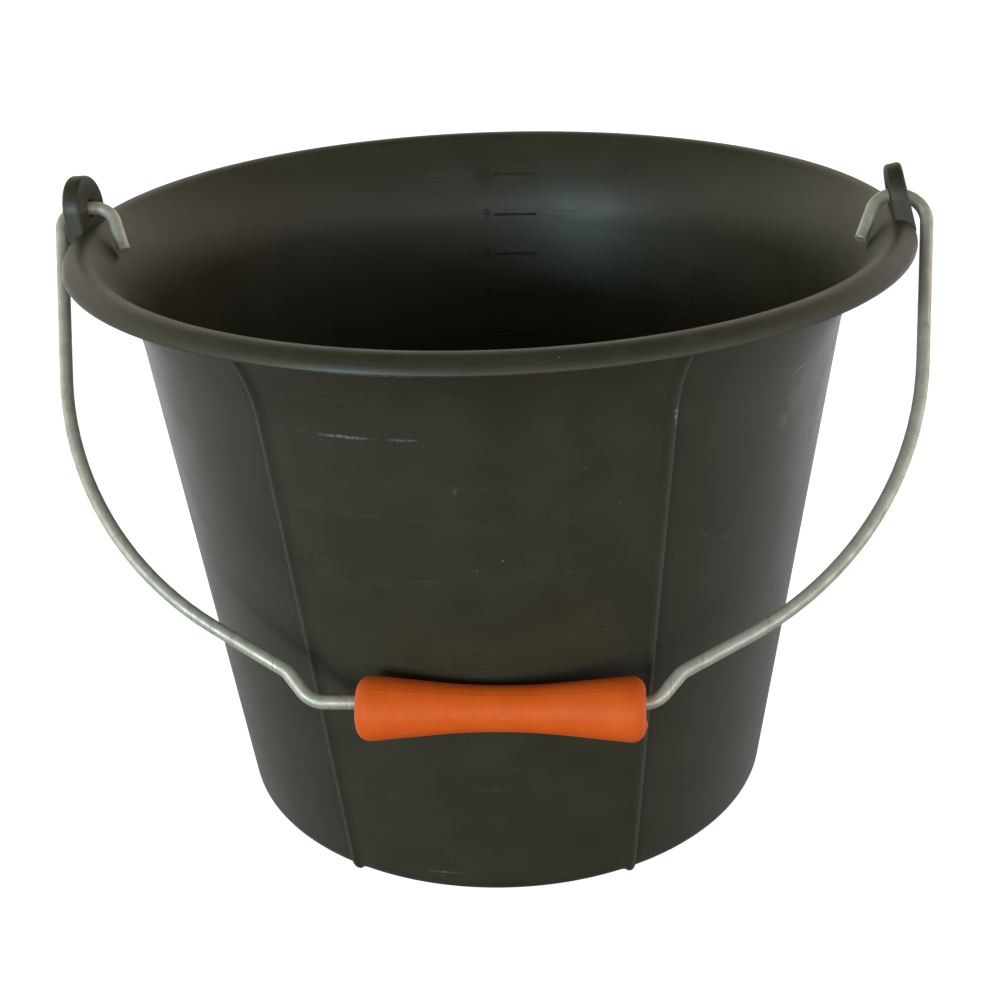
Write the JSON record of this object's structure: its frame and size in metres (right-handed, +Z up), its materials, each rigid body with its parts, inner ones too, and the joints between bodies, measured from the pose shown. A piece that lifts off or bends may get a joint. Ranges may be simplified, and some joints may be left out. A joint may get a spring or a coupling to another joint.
{
  "type": "bucket",
  "caption": "Tapered plastic bucket with a flared rolled lip, side ears, outside ribs and inside level bars, carried by a swinging wire bail with a loose turning hand grip.",
  "frame": {"origin": "on the bucket's axis, at the ground under the foot ring", "axes": "+Z up along the bucket's axis, X along the pivot line through both ears, -Y the front where the bail hangs at rest"},
  "size_m": [0.3377, 0.3242, 0.2563],
  "materials": {
    "bucket_plastic": "satin moulded polyethylene, scuffed",
    "bail_steel": "dull galvanised wire",
    "grip_plastic": "satin moulded plastic"
  },
  "bodies": {
    "bucket": {"bucket_shell": "bucket_plastic"},
    "bail": {"wire_bail": "bail_steel"},
    "grip": {"hand_grip": "grip_plastic"}
  },
  "joints": [
    {"name": "bail_swing", "type": "hinge", "parent": "bucket", "child": "bail", "pos_m": [0, 0, 0.2435], "axis": [-1, 0, 0], "range_deg": [0, 276.4]},
    {"name": "grip_turn", "type": "hinge", "parent": "bail", "child": "grip", "pos_m": [0.0082, -0.13112, 0.09674], "axis": [1, 0, 0], "continuous": true}
  ]
}
